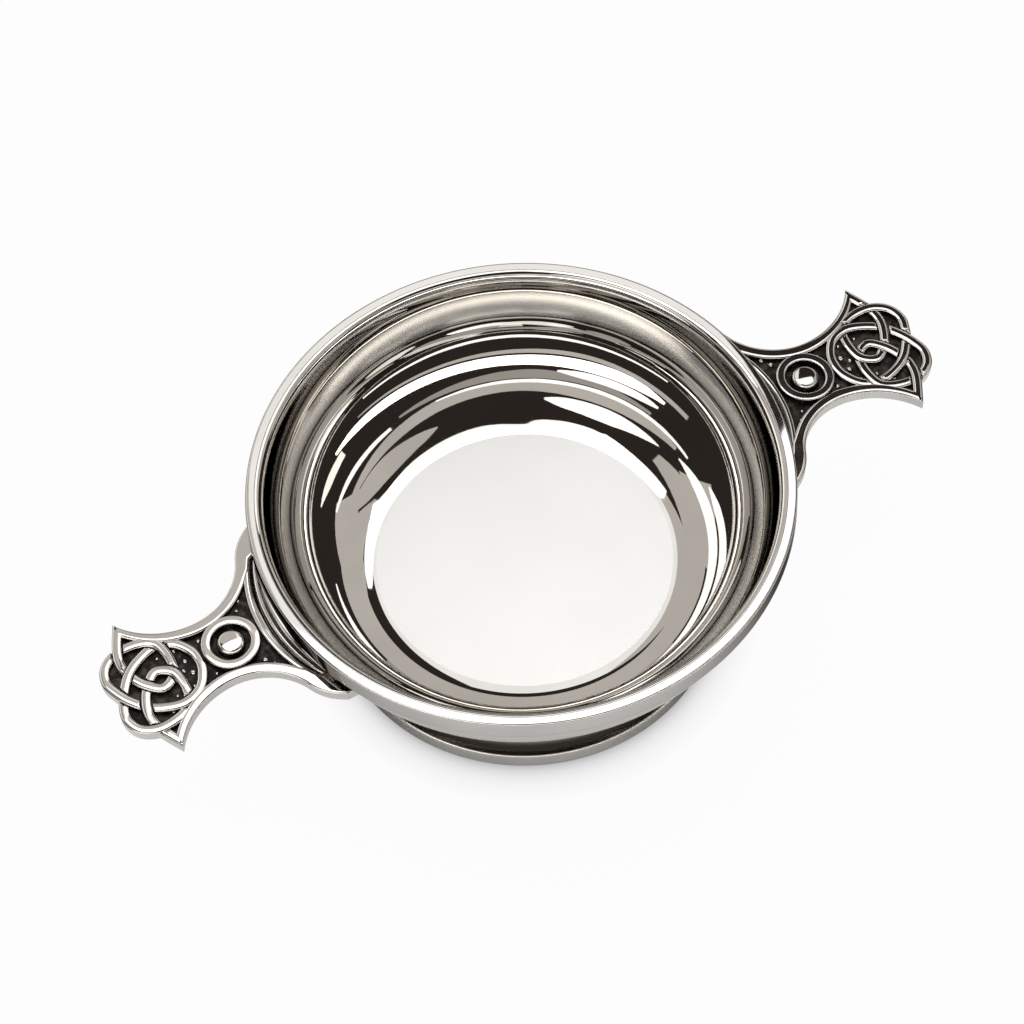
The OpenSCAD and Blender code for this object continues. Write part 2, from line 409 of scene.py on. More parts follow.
def bowlOutline():
    brow = math.radians(bowl["wallTurn"])
    wallEnd = bowl["wallTurn"] - 90
    wall = arcPoints(wallCentre, wallRadius, bowl["blendAngle"] - 90, wallEnd, bowl["wallSteps"])
    browRadius = (seatRadius - bowl["lipRound"] - wall[-1].x) / (1 - math.sin(brow))
    browCentre = wall[-1] + browRadius * Vector((-math.sin(brow), math.cos(brow)))
    wall += arcPoints(browCentre, browRadius, wallEnd, 0, bowl["browSteps"])[1:]
    floor = []
    point = wall[0]
    steps = bowl["blendSteps"]
    stride = (point.x - bowl["dishEdge"]) / steps
    rise = bowl["blendAngle"] - bowl["dishSlope"]
    for i in range(steps):  # down the turn from the wall to the floor
        slope = bowl["dishSlope"] + rise * smoothStep(1 - (i + 0.5) / steps)
        point = point - Vector((stride, stride * math.tan(math.radians(slope))))
        floor.append(point)
    edge = floor[-1]
    sag = math.tan(math.radians(bowl["dishSag"])) * edge.x / 2
    for i in range(1, bowl["dishSteps"] + 1):
        part = 1 - i / bowl["dishSteps"]
        floor.append(Vector((edge.x * part, edge.y - sag * (1 - part ** 2))))
    lipCentre = (seatRadius, bowl["height"] - bowl["lipRound"])
    lip = arcPoints(lipCentre, bowl["lipRound"], 180, 90, bowl["lipSteps"])
    inside = list(reversed(floor)) + wall + lip
    seat = seatRadius - bowl["seatGap"]
    seatTop = [
        Vector((seatRadius - bowl["hairline"], bowl["height"])),
        Vector((seat, bowl["height"] - bowl["hairline"])),
        Vector((seat, seatHeight)),
    ]
    start = math.degrees(math.acos((lipHeight - seatHeight) / outerRadius))
    end = math.degrees(math.acos((lipHeight - bowl["under"]) / outerRadius))
    outside = arcPoints(wallCentre, outerRadius, start - 90, end - 90, bowl["outerSteps"])
    flat = (outside[-1].x - bowl["underEdge"], bowl["underMiddle"], 0.0)
    underside = [Vector((x, bowl["under"])) for x in flat]
    made = inside[:-1] + seatTop + outside + underside
    return list(reversed(made))


def bowlMesh():
    made = spunMesh("bowlShell", bowlOutline(), pewterFinish, closed=False)
    made.materials.append(floorFinish)
    made.materials.append(outsideFinish)
    for face in made.polygons:
        spot = face.center / mm
        if face.normal.xy.dot(spot.xy) > 0 or face.normal.z < -0.5:  # faces out or down
            face.material_index = 2
        elif spot.xy.length < bowl["satin"]:
            face.material_index = 1
    return made


newPiece("bowlShell", bowlMesh(), "bowl")


def bandOutline():
    seatEdge, lowEdge, topEdge = bowl["bandEdges"]
    return rounded([
        (seatRadius, seatHeight, seatEdge),
        (bowl["rim"], seatHeight, lowEdge),
        (bowl["rim"], bowl["height"], topEdge),
        (seatRadius, bowl["height"], bowl["hairline"]),
    ])


rimBand = spunMesh("rimBand", bandOutline(), pewterFinish)
newPiece("rimBand", rimBand, "rim_band")

foot = {
    "radius": 36.7,
    "neck": 28.3,
    "wall": 2.1,
    "lipHeight": 3.2,
    "lipWidth": 2.8,
    "lipEdges": (0.25, 0.35, 0.45),  # rounding inside, below and on top
    "land": 1.2,
    "steps": 32,
}


def footOutline():
    coveRun = foot["radius"] - foot["land"] - foot["neck"]
    coveRadius = coveRun + foot["land"]
    coveX = foot["neck"] + coveRadius
    coveZ = foot["lipHeight"] + math.sqrt(coveRadius ** 2 - foot["land"] ** 2)
    landTurn = math.degrees(math.acos(-foot["land"] / coveRadius))
    inner = coveRadius + foot["wall"]
    lipInside = foot["radius"] - foot["lipWidth"]
    cavityTurn = math.degrees(math.acos((lipInside - coveX) / inner))
    cove = arcPoints((coveX, coveZ), coveRadius, 360 - landTurn, 180, foot["steps"])
    cavity = arcPoints((coveX, coveZ), inner, 180, 360 - cavityTurn, foot["steps"])
    inEdge, lowEdge, topEdge = foot["lipEdges"]
    edge = rounded([
        (lipInside, 0, inEdge),
        (foot["radius"], 0, lowEdge),
        (foot["radius"], foot["lipHeight"], topEdge),
        (lipInside, foot["lipHeight"]),
    ])[:-1]
    top = bowl["under"]
    neck = [Vector((foot["neck"], top)), Vector((foot["neck"] - foot["wall"], top))]
    return edge + cove + neck + cavity


footRing = spunMesh("footRing", footOutline(), pewterFinish)
newPiece("footRing", footRing, "foot_ring")

footFillet = {"leg": 0.6, "inset": 0.05, "rise": 0.02, "steps": 8}


def footSeamOutline():
    leg = footFillet["leg"]
    neck = foot["neck"]
    top = bowl["under"]
    hollow = arcPoints((neck + leg, top - leg), leg, 180, 90, footFillet["steps"])
    back = neck - footFillet["inset"]
    return [Vector((back, top + footFillet["rise"])), Vector((back, top - leg))] + hollow


footSeam = spunMesh("footSeam", footSeamOutline(), seamFinish)
newPiece("footSeam", footSeam, "foot_solder")
print("spun pieces made")

lug = {
    "drop": 6.3,
    "droop": 4.5,
    "thick": 2.5,
    "relief": 1.1,
    "waist": Vector((13.0, 7.2)),
    "waistIn": 13.0,
    "waistOut": 16.0,
    "toe": 11.0,
    "toeTurn": 203.0,
    "toeEnd": 20.7,
    "toeFork": 9.6,  # where the border and the inner border part
    "toeSplit": 12.2,
    "toeHeel": 14.2,
    "toeRoot": (15.2, 17.7),  # where the toe's end lies in the bowl's wall
    "cusp": 26.6,
    "border": 2.2,
    "borderTip": 1.5,
    "borderBase": 0.4,
    "borderLean": 0.5,  # how far the bright outer walls turn to the end
    "shoulder": 0.65,  # the cushioned edges of the relief
    "fall": 0.24,
    "root": 48.3,
    "innerRadius": 27.0,
    "innerCrest": 3.6,
    "innerWidth": 1.0,
    "innerDepth": 1.5,
    "innerReach": 13.2,
    "innerSink": 0.09,
    "ringPlace": 9.4,
    "ringRadius": 5.5,
    "ringWall": 1.7,
    "ringRise": 0.4,
    "ringBase": 0.4,
    "ringShare": 0.22,
    "plateInset": 0.04,
    "plateRoot": (-0.66, -0.33, 0, 0.33, 0.66),
    "underEdge": 0.35,
    "sunk": -0.42,  # below this height the bars are dark
    "beside": 0.3,
    "crease": 50.0,
    "weight": 90,
}
knot = {
    "place": 16.0,
    "width": 1.8,
    "depth": 1.7,
    "dip": 0.75,
    "gap": 0.1,
    "slope": 0.22,
    "sink": 0.03,
    "inset": 0.03,
    "steps": 32,
    "apart": 9,  # fewer steps than this apart is no crossing
    "near": 0.5,
    "armStart": 8,
    "cornerSkip": 4,
    "lobe": (5, 6),  # the meetings between which the outer lobe runs
    "half": [
        (12.3, 9.4), (13, 6), (12.3, 3), (10.7, 0.2), (8.1, -1.9), (5.3, -0.3), (4.6, 3), (5.1, 6.4),
        (6.5, 8.1), (9.5, 9.1), (13, 9), (15.8, 7.3), (16.9, 4.4), (16.2, 1.5), (14.8, -1.2),
        (12.5, -4), (9.5, -5.8), (6, -6.7), (2.7, -5.6), (0.6, -2.8), (0, 0),
    ],
}
onLug = Matrix.Translation((bowl["rim"], 0, bowl["height"] - lug["drop"])) @ Matrix.Rotation(
    math.radians(lug["droop"]), 4, "Y"
)
turned = Matrix.Rotation(math.pi, 4, "Z")


def flipped(points):
    return [Vector((p.x, -p.y)) for p in reversed(points)]


def rootX(y):  # where the lug ends inside the thickness of the bowl's wall
    return math.sqrt(lug["root"] ** 2 - y * y) - bowl["rim"]


waistInCentre = lug["waist"] + Vector((0, lug["waistIn"]))
waistOutCentre = lug["waist"] + Vector((0, lug["waistOut"]))
toeCentre = waistInCentre + (lug["waistIn"] + lug["toe"]) * spoke(lug["toeTurn"])
cuspTurn = 270 + math.degrees(math.asin((lug["cusp"] - lug["waist"].x) / lug["waistOut"]))
cusp = waistOutCentre + lug["waistOut"] * spoke(cuspTurn)
innerCentre = Vector((lug["innerCrest"] - lug["innerRadius"], 0))


def lugSide(inset, tipInset, steps=24):  # one edge of the lug, from its root to the pointed corner
    end = lug["toeEnd"] - inset
    start = math.degrees(math.asin((end - toeCentre.y) / (lug["toe"] - inset)))
    last = []
    for i in range(1, steps + 1):
        turn = 270 + (cuspTurn - 270) * i / steps
        here = lug["waistOut"] + inset + (tipInset - inset) * i / steps
        last += arcPoints(waistOutCentre, here, turn, turn, 1)[:1]
    return (
        [Vector((rootX(end), end))]
        + arcPoints(toeCentre, lug["toe"] - inset, start, lug["toeTurn"] - 180, steps)
        + arcPoints(waistInCentre, lug["waistIn"] + inset, lug["toeTurn"], 270, steps)[1:]
        + last
    )


def smoothCourse(points, steps):  # a smooth path through a list of points
    made = []
    last = len(points) - 1
    for i in range(last):
        p0, p1, p2, p3 = points[max(i - 1, 0)], points[i], points[i + 1], points[min(i + 2, last)]
        bend = 2 * p0 - 5 * p1 + 4 * p2 - p3
        twist = 3 * (p1 - p2) + p3 - p0
        for k in range(steps):
            t = k / steps
            made.append(p1 + 0.5 * t * (p2 - p0 + t * (bend + t * twist)))
    return made + [points[last]]


def meeting(p, q, a, b):  # how far along p-q and a-b the two lines meet, or nothing
    r = q - p
    s = b - a
    den = r.x * s.y - r.y * s.x
    if abs(den) < 1e-12:
        return None
    gap = a - p
    t = (gap.x * s.y - gap.y * s.x) / den
    u = (gap.x * r.y - gap.y * r.x) / den
    return (t, u) if 0 <= t < 1 and 0 <= u < 1 else None


def firstMeeting(first, second):  # the steps on the two paths before they meet, and the place
    for i in range(len(first) - 1):
        for j in range(len(second) - 1):
            found = meeting(first[i], first[i + 1], second[j], second[j + 1])
            if found:
                return i, j, first[i].lerp(first[i + 1], found[0])


def crossings(path):  # pairs of places along the path where it meets itself, in order
    found = []
    last = len(path) - 1
    for i in range(last):
        for j in range(last):
            if abs(i - j) < knot["apart"] or (path[j] - path[i]).length_squared > knot["near"] ** 2:
                continue
            met = meeting(path[i], path[i + 1], path[j], path[j + 1])
            if met:
                found.append((i + met[0], j + met[1]))
    return found


def knotCourse():
    offset = Vector((knot["place"], 0))
    half = [offset + Vector(p) for p in knot["half"]]
    along = (half[0] - cusp).normalized()
    start = cusp + knot["width"] / 2 * Vector((along.y, -along.x))
    half = [start] + half
    return half + flipped(half)[1:]


strandPath = smoothCourse(knotCourse(), knot["steps"])
strandMeets = crossings(strandPath)
unders = strandMeets[::2]  # every other meeting is an under


def strandEdge(first, last, offset):
    made = []
    for i in range(first, last + 1):
        along = (strandPath[min(i + 1, len(strandPath) - 1)] - strandPath[max(i - 1, 0)]).normalized()
        made.append(strandPath[i] + offset * Vector((-along.y, along.x)))
    return made


def awayFrom(spot, place):  # distance to the strand near one place along it
    first = max(int(place) - knot["steps"], 0)
    last = min(int(place) + knot["steps"], len(strandPath) - 1)
    return min((spot - strandPath[i]).length for i in range(first, last + 1))


def strandDip(spot, step):  # how far the strand sinks to pass under itself
    deepest = 0.0
    for here, there in unders:
        if abs(step - here) > knot["steps"]:
            continue
        clear = awayFrom(spot, there) - knot["width"] / 2 - knot["gap"]
        deepest = max(deepest, smoothStep(min(max(1 - clear / knot["slope"], 0.0), 1.0)))
    return knot["dip"] * deepest


def armEdge(meet, side):  # one edge of the strand from the pointed corner to where it dips under
    here, there = meet
    edge = strandEdge(0, int(here), side * knot["width"] / 2)
    return [p for p in edge if awayFrom(p, there) > knot["width"] / 2 + knot["gap"]]


def borderOutline(meet):  # the border of one side, with its toe and the arm that the knot begins with
    outer = lugSide(0, 0)
    inner = lugSide(lug["border"], lug["borderTip"])
    armOuter = armEdge(meet, 1)[knot["cornerSkip"]:]
    armInner = armEdge(meet, -1)
    i, j, corner = firstMeeting(armInner, inner)
    lip = lug["innerRadius"] - lug["innerWidth"]
    turns = [math.degrees(math.asin(y / lip)) for y in (lug["toeSplit"], lug["toeHeel"])]
    lipEdge = arcPoints(innerCentre, lip, turns[0], turns[1], 12)
    fork = next(n for n, p in enumerate(inner) if p.y < lug["toeFork"])
    heel = [Vector((rootX(y), y)) for y in lug["toeRoot"]]
    return (
        outer + armOuter + list(reversed(armInner[i + 1:])) + [corner]
        + list(reversed(inner[fork:j + 1])) + lipEdge + heel
    )


def lugOutline():
    offset = knot["width"] / 2 - knot["inset"]
    first, last = [strandMeets[n][0] for n in knot["lobe"]]
    lobe = [p for p in strandEdge(math.ceil(first), int(last), offset) if p.y > 0]
    arm = strandEdge(knot["armStart"], int(strandMeets[0][0]), offset)
    reachOut = firstMeeting(arm, lobe)
    if reachOut:
        arm = arm[:reachOut[0] + 1]
        lobe = lobe[reachOut[1] + 1:]
    half = lugSide(lug["plateInset"], lug["plateInset"]) + arm + lobe
    ends = half[0].y
    root = [Vector((rootX(ends * part), ends * part)) for part in lug["plateRoot"]]
    return root + half + flipped(half)


def prism(outline, low, high):
    mesh = bmesh.new()
    area = sum(a.x * b.y - a.y * b.x for a, b in zip(outline, outline[1:] + outline[:1]))
    points = outline if area > 0 else list(reversed(outline))
    top = [mesh.verts.new((p.x, p.y, high)) for p in points]
    bottom = [mesh.verts.new((p.x, p.y, low)) for p in points]
    mesh.faces.new(top)
    mesh.faces.new(list(reversed(bottom)))
    for i in range(len(points)):
        k = (i + 1) % len(points)
        mesh.faces.new((bottom[i], bottom[k], top[k], top[i]))
    mesh.normal_update()
    mesh.faces.ensure_lookup_table()
    return mesh


def soften(mesh, face, offset, segments):  # round the edges of one face, 0 the top and 1 the bottom
    edges = list(mesh.faces[face].edges)
    bmesh.ops.bevel(mesh, geom=edges, offset=offset, segments=segments, profile=0.5, affect="EDGES")


def isWall(face):  # near enough upright
    return abs(face.normal.z) < 0.2


def plateMesh(outline, low, high):  # the plate that carries the relief, its top face the dark ground
    mesh = prism(outline, low, high)
    mesh.faces[0].material_index = 1
    soften(mesh, 1, lug["underEdge"], 3)
    return mesh


def reliefMesh(outline, low, high, outward):
    # a raised border with cushioned edges; only the walls that face outward are bright
    mesh = prism(outline, low, high)
    soften(mesh, 0, lug["shoulder"], 6)
    for v in mesh.verts:
        if v.co.z > low + 1e-6:
            v.co.z = high - (high - v.co.z) * lug["fall"] / lug["shoulder"]
    mesh.normal_update()
    for face in mesh.faces:
        if isWall(face) and face.normal.dot(outward) < 0:
            face.material_index = 1
    return mesh


def intoMesh(target, source):  # add one bmesh to another
    lookup = {}
    for v in source.verts:
        lookup[v] = target.verts.new(v.co)
    for f in source.faces:
        made = target.faces.new([lookup[v] for v in f.verts])
        made.material_index = f.material_index
        made.smooth = True
    source.free()


def newGroup(name, inputs):
    group = bpy.data.node_groups.new(name, "GeometryNodeTree")
    group.interface.new_socket("Geometry", in_out="OUTPUT", socket_type="NodeSocketGeometry")
    for label, kind in inputs.items():
        group.interface.new_socket(label, in_out="INPUT", socket_type="NodeSocket" + kind)
    net = Net(group)
    given = group.nodes.new("NodeGroupInput")
    return net, {label: Wire(net, given.outputs[label]) for label in inputs}


def closeGroup(net, geometry, finish):
    whole = net.node("GeometryNodeRealizeInstances", None, {"Geometry": geometry})
    dressed = net.node("GeometryNodeSetMaterial", None, {"Geometry": whole, "Material": finish})
    net.node("NodeGroupOutput", None, {"Geometry": dressed})
    return net.tree


def barGroup():
    # sweeps a section along a curve, its top kept level
    inputs = {"Geometry": "Geometry", "Section": "Object", "Finish": "Material"}
    net, wires = newGroup("sweptBar", inputs)
    upright = net.node("GeometryNodeSetCurveNormal", {"mode": "Z_UP"}, {"Curve": wires["Geometry"]})
    section = net.node("GeometryNodeObjectInfo", None, {"Object": wires["Section"]}, output="Geometry")
    swept = net.node(
        "GeometryNodeCurveToMesh", None, {"Curve": upright, "Profile Curve": section, "Fill Caps": True}
    )
    return closeGroup(net, swept, wires["Finish"])


def pelletGroup():
    # sets a small rounded pellet on every point, each a little different in size
    inputs = {"Geometry": "Geometry", "Radius": "Float", "Least": "Float", "Most": "Float",
              "Seed": "Int", "Finish": "Material"}
    net, wires = newGroup("castPellets", inputs)
    points = net.node("GeometryNodeMeshToPoints", None, {"Mesh": wires["Geometry"]})
    ball = net.node("GeometryNodeMeshIcoSphere", None, {"Radius": wires["Radius"], "Subdivisions": 3})
    size = net.node(
        "FunctionNodeRandomValue",
        {"data_type": "FLOAT"},
        {2: wires["Least"], 3: wires["Most"], "Seed": wires["Seed"]},
        output=1,
    )
    placed = net.node(
        "GeometryNodeInstanceOnPoints", None, {"Points": points, "Instance": ball, "Scale": size}
    )
    return closeGroup(net, placed, wires["Finish"])


def modified(holder):  # the mesh that an object's modifiers make of it; the object goes
    graph = bpy.context.evaluated_depsgraph_get()
    made = bpy.data.meshes.new_from_object(holder.evaluated_get(graph), depsgraph=graph)
    bpy.data.objects.remove(holder)
    return made


def grown(source, group, values):  # the plain mesh that a Geometry Nodes group makes of an object
    modifier = source.modifiers.new("grow", "NODES")
    modifier.node_group = group
    for item in group.interface.items_tree:
        if item.item_type == "SOCKET" and item.in_out == "INPUT" and item.name in values:
            modifier[item.identifier] = values[item.name]
    source.update_tag()
    return modified(source)


def curveOf(name, points, closed=False):
    data = bpy.data.curves.new(name, "CURVE")
    data.dimensions = "3D"
    spline = data.splines.new("POLY")
    spline.points.add(len(points) - 1)
    spline.use_cyclic_u = closed
    for slot, p in zip(spline.points, points):
        slot.co = (*p, 1.0)
    return newObject(name, data)


def pointsOf(name, points):
    data = bpy.data.meshes.new(name)
    data.from_pydata(points, [], [])
    return newObject(name, data)


barMaker = barGroup()
pelletMaker = pelletGroup()


def barSection(width, depth, share=0.4):  # flat on top at height 0, cushioned at the edges
    half = width / 2
    run = min(lug["shoulder"], share * width)
    fall = lug["fall"] * run / lug["shoulder"]
    steps = 6
    turns = [math.radians(90 * k / steps) for k in range(steps + 1)]
    right = [Vector((half - run + run * math.cos(t), fall * (math.sin(t) - 1))) for t in turns]
    left = [Vector((-p.x, p.y)) for p in reversed(right)]
    return [Vector((-half, -depth)), Vector((half, -depth))] + right + left


def sweptMesh(name, points, section):
    holder = curveOf(name + "Section", [(p.x, -p.y, 0) for p in reversed(section)], closed=True)
    made = grown(curveOf(name, points), barMaker, {"Section": holder, "Finish": reliefFinish})
    bpy.data.objects.remove(holder)
    return made


def strandMesh():
    first = int(strandMeets[0][0])
    last = math.ceil(unders[-1][0])
    section = barSection(knot["width"], knot["depth"])
    course = [(p.x, p.y, -knot["sink"]) for p in strandPath[first:last + 1]]
    made = sweptMesh("strand", course, section)
    for v in made.vertices:
        v.co.z -= strandDip(v.co.xy, first + v.index // len(section))
    return made


def ringMesh():
    top = lug["ringRise"]
    inner = lug["ringRadius"] - lug["ringWall"]
    middle = Vector((lug["ringRadius"] + inner, 2 * top)) / 2
    depth = top + lug["relief"] + lug["ringBase"]
    outline = [middle + p for p in barSection(lug["ringWall"], depth, lug["ringShare"])]
    place = Matrix.Translation((lug["ringPlace"], 0, 0))
    return spunMesh("ring", outline, reliefFinish, steps=96, place=place, unit=1.0)


web = {
    "columns": 40,
    "half": 36.0,
    "overlap": 0.3,
    "bury": 0.5,
    "steps": 4,
    "course": [  # part of the way from the inner border to the bowl, and height
        (0.0, -0.95), (0.16, -0.9), (0.3, -0.42), (0.42, -0.3),
        (0.55, -0.46), (0.68, -0.3), (0.84, 0.1), (1.0, 0.9),
    ],
}


def webMesh():
    # the polished hollow between the inner border and the bowl
    mesh = bmesh.new()
    inside = lug["innerRadius"] - lug["innerWidth"] + web["overlap"]
    course = smoothCourse([Vector(p) for p in web["course"]], web["steps"])
    grid = []
    for i in range(web["columns"] + 1):
        outer = innerCentre + inside * spoke(web["half"] * (2 * i / web["columns"] - 1))
        end = Vector((rootX(outer.y) + web["bury"], outer.y))
        grid.append([mesh.verts.new((*outer.lerp(end, p.x), p.y)) for p in course])
    for a, b in zip(grid, grid[1:]):
        for k in range(len(a) - 1):
            mesh.faces.new((a[k], b[k], b[k + 1], a[k + 1]))
    if sum(f.normal.z for f in mesh.faces) < 0:
        bmesh.ops.reverse_faces(mesh, faces=mesh.faces)
    return mesh


pellet = {
    "radius": 0.6,
    "least": 0.55,
    "most": 1.1,
    "seed": 4,
    "spots": [
        (4.2, 7.7), (4.2, -7.7), (5.4, 6.0), (5.4, -6.0), (3.2, 9.6), (3.4, -9.4), (14.3, 3.9),
        (14.3, -3.9), (18.0, 1.5), (18.3, -1.4), (19.4, 0.3), (19.0, 4.2), (19.2, -4.4), (22.6, 4.4),
        (22.5, -4.6), (24.7, 7.0), (24.8, -7.0), (28.6, 5.0), (28.5, -5.2), (26.5, 0.4),
    ],
}


def pelletMesh():
    spots = [(x, y, -lug["relief"]) for x, y in pellet["spots"]]
    values = {"Radius": pellet["radius"], "Least": pellet["least"], "Most": pellet["most"],
              "Seed": pellet["seed"], "Finish": reliefFinish}
    return grown(pointsOf("pellets", spots), pelletMaker, values)


def railMesh():  # the inner border, along the bowl
    bend = lug["innerRadius"] - lug["innerWidth"] / 2
    reach = math.degrees(math.asin(lug["innerReach"] / bend))
    rail = [(p.x, p.y, -lug["innerSink"]) for p in arcPoints(innerCentre, bend, -reach, reach, 72)]
    return sweptMesh("innerBorder", rail, barSection(lug["innerWidth"], lug["innerDepth"]))


def within(outline, spot):  # whether a place lies inside a closed outline
    found = False
    for a, b in zip(outline, outline[1:] + outline[:1]):
        if (a.y > spot.y) == (b.y > spot.y):
            continue
        if spot.x < a.x + (spot.y - a.y) * (b.x - a.x) / (b.y - a.y):
            found = not found
    return found


def lugMesh():
    whole = bmesh.new()
    low = -lug["thick"]
    outline = lugOutline()
    intoMesh(whole, plateMesh(outline, low, -lug["relief"]))
    borders = [borderOutline(strandMeets[0]), flipped(borderOutline(strandMeets[1]))]
    for side, border in zip((1, -1), borders):
        outward = Vector((lug["borderLean"], side, 0))
        intoMesh(whole, reliefMesh(border, low + lug["borderBase"], 0, outward))
    intoMesh(whole, webMesh())
    grains = pelletMesh()
    for mesh in (railMesh(), strandMesh(), ringMesh(), grains):
        part = bmesh.new()
        part.from_mesh(mesh)
        for face in part.faces:  # dark low down and inside the outline, bright on its outer sides
            middle = face.calc_center_median()
            sunk = isWall(face) or middle.z < lug["sunk"]
            inner = within(outline, (middle + lug["beside"] * face.normal).xy)
            face.material_index = int(mesh is not grains and sunk and inner)
        intoMesh(whole, part)
        bpy.data.meshes.remove(mesh)
    return plainMesh(whole, "lug", reliefFinish, darkFinish)


def weighted(mesh, name):  # flat faces keep their own normals beside small bevels
    holder = newObject(name, mesh)
    mesh.set_sharp_from_angle(angle=math.radians(lug["crease"]))
    modifier = holder.modifiers.new("weigh", "WEIGHTED_NORMAL")
    modifier.keep_sharp = True
    modifier.weight = lug["weight"]
    return modified(holder)


sides = {"Right": onLug, "Left": turned @ onLug}
rawLug = lugMesh()
for side, place in sides.items():
    copy = rawLug.copy()
    copy.transform(Matrix.Scale(mm, 4) @ place)
    piece = weighted(copy, "lug" + side)
    piece.name = "lug" + side
    newPiece("lug" + side, piece, "lug_" + side.lower())
bpy.data.meshes.remove(rawLug)

bead = {"flat": 1.9, "crown": 0.1, "shoulder": 0.85, "height": 1.75, "under": 0.3, "steps": 16}


def beadOutline():
    dome = (bead["flat"] ** 2 + bead["crown"] ** 2) / (2 * bead["crown"])
    turn = math.degrees(math.acos(bead["flat"] / dome))
    cap = arcPoints((0, bead["height"] - dome), dome, turn, 90, bead["steps"])
    cap[-1].x = 0.0
    middle = cap[0] - bead["shoulder"] * spoke(turn)
    side = arcPoints(middle, bead["shoulder"], 0, turn, bead["steps"])
    base = [Vector((x, -bead["under"])) for x in (0.0, side[0].x)]
    return base + side[:-1] + cap


for side, place in sides.items():
    seat = place @ Matrix.Translation((lug["ringPlace"], 0, -lug["relief"]))
    mesh = spunMesh("bead" + side, beadOutline(), beadFinish, steps=72, closed=False, place=seat)
    newPiece("bead" + side, mesh, "bead_" + side.lower())
print("lugs and beads made")

seam = {
    "leg": 1.6,
    "half": 20.0,
    "steps": 40,
    "rows": 10,
    "tip": 0.04,
    "rise": 0.05,
    "backTop": (0.4, 0.3),  # into the bowl's wall and into the lug
    "backLow": 0.8,
}


def outerWall(z):  # the bowl's outside radius at one height
    return wallCentre.x + math.sqrt(outerRadius ** 2 - (lipHeight - z) ** 2)


def seamMesh(name, middle):
    # the hollow fillet between the bowl's wall and the underside of a lug
    mesh = bmesh.new()
    top = bowl["height"] - lug["drop"] - lug["thick"]
    wallHigh = outerWall(top)
    backIn, backUp = seam["backTop"]
    droop = math.tan(math.radians(lug["droop"]))
    grid = []
    for i in range(seam["steps"] + 1):
        part = 2 * i / seam["steps"] - 1
        turn = math.radians(seam["half"] * part)
        leg = seam["leg"] * (math.sqrt(max(1 - part ** 4, 0.0)) * (1 - seam["tip"]) + seam["tip"])
        line = []
        for k in range(seam["rows"] + 1):
            bend = math.radians(90 * k / seam["rows"])
            z = top - leg * (1 - math.sin(bend))
            wallHere = outerWall(z)
            r = wallHere + (wallHigh + leg - wallHere) * (1 - math.cos(bend))
            z = z - droop * (r * math.cos(turn) - bowl["rim"]) + seam["rise"]
            line.append((r, z))
        line += [(wallHigh - backIn, top + backUp), (wallHigh - seam["backLow"], top - leg)]
        grid.append([
            mesh.verts.new((r * math.cos(turn + middle) * mm, r * math.sin(turn + middle) * mm, z * mm))
            for r, z in line
        ])
    for a, b in zip(grid, grid[1:]):
        for k in range(len(a)):
            n = (k + 1) % len(a)
            mesh.faces.new((a[k], a[n], b[n], b[k])).smooth = True
    mesh.faces.new(grid[0])
    mesh.faces.new(list(reversed(grid[-1])))
    bmesh.ops.recalc_face_normals(mesh, faces=mesh.faces)
    return plainMesh(mesh, name, seamFinish)


for side, middle in (("Right", 0), ("Left", math.pi)):
    newPiece("seam" + side, seamMesh("seam" + side, middle), "lug_solder_" + side.lower())
print("solder seams made")

view = {
    "lens": 191.1,
    "sensor": 36.0,
    "nearest": 0.01,
    "distance": 1000.0,
    "elevation": 57.17,
    "roll": -3.12,
    "turn": 25.28,
    "aim": Vector((-1.88, -5.26, 39.0)),
}
facing = Matrix.Rotation(-math.radians(view["turn"]), 3, "Z")  # the photographer's axes to the cup's


def addCamera():
    rise = math.radians(view["elevation"])
    back = Vector((0, -math.cos(rise), math.sin(rise)))
    right = Vector((1, 0, 0))
    up = Vector((0, math.sin(rise), math.cos(rise)))
    roll = math.radians(view["roll"])
    across = math.cos(roll) * right + math.sin(roll) * up
    upright = -math.sin(roll) * right + math.cos(roll) * up
    turn = Matrix((facing @ across, facing @ upright, facing @ back)).transposed()
    lens = bpy.data.cameras.new("camera")
    lens.lens = view["lens"]
    lens.sensor_width = view["sensor"]
    lens.clip_start = view["nearest"]
    camera = newObject("camera", lens)
    spot = facing @ (view["aim"] + view["distance"] * back) * mm
    camera.matrix_world = Matrix.Translation(spot) @ turn.to_4x4()
    scene.camera = camera


addCamera()

studio = {
    "light": 0.98,
    "centre": Vector((0, 0, 0.03)),
    "tent": 2.4,  # distances from the centre, in metres
    "cards": (2.2, 0.04),  # of the first card, and how much nearer each next one is
    "strips": (1.95, 0.02),
    "panel": 4.0,
    "stripSteps": 8,
    "stripRows": 6,
}


def glowing(net, tone):
    return net.node(
        "ShaderNodeBsdfPrincipled",
        None,
        {"Base Color": (0, 0, 0, 1), "Roughness": 1.0, "Specular IOR Level": 0.0,
         "Emission Color": tone, "Emission Strength": 1.0},
    )


def glow(name, tone):
    material, net = newFinish(name)
    closeFinish(net, glowing(net, (*tone, 1.0)))
    material.cycles.emission_sampling = "NONE"
    return material


def tentSheet(name, grid, tone):  # a sheet of the light tent, seen by the metal only
    mesh = bmesh.new()
    rows = [[mesh.verts.new(p) for p in line] for line in grid]
    for a, b in zip(rows, rows[1:]):
        for k in range(len(a) - 1):
            mesh.faces.new((a[k], a[k + 1], b[k + 1], b[k])).smooth = True
    bmesh.ops.remove_doubles(mesh, verts=mesh.verts, dist=1e-5)
    sheet = newObject(name, plainMesh(mesh, name, glow(name, tone)))
    sheet.visible_camera = False
    sheet.visible_diffuse = False
    sheet.visible_shadow = False


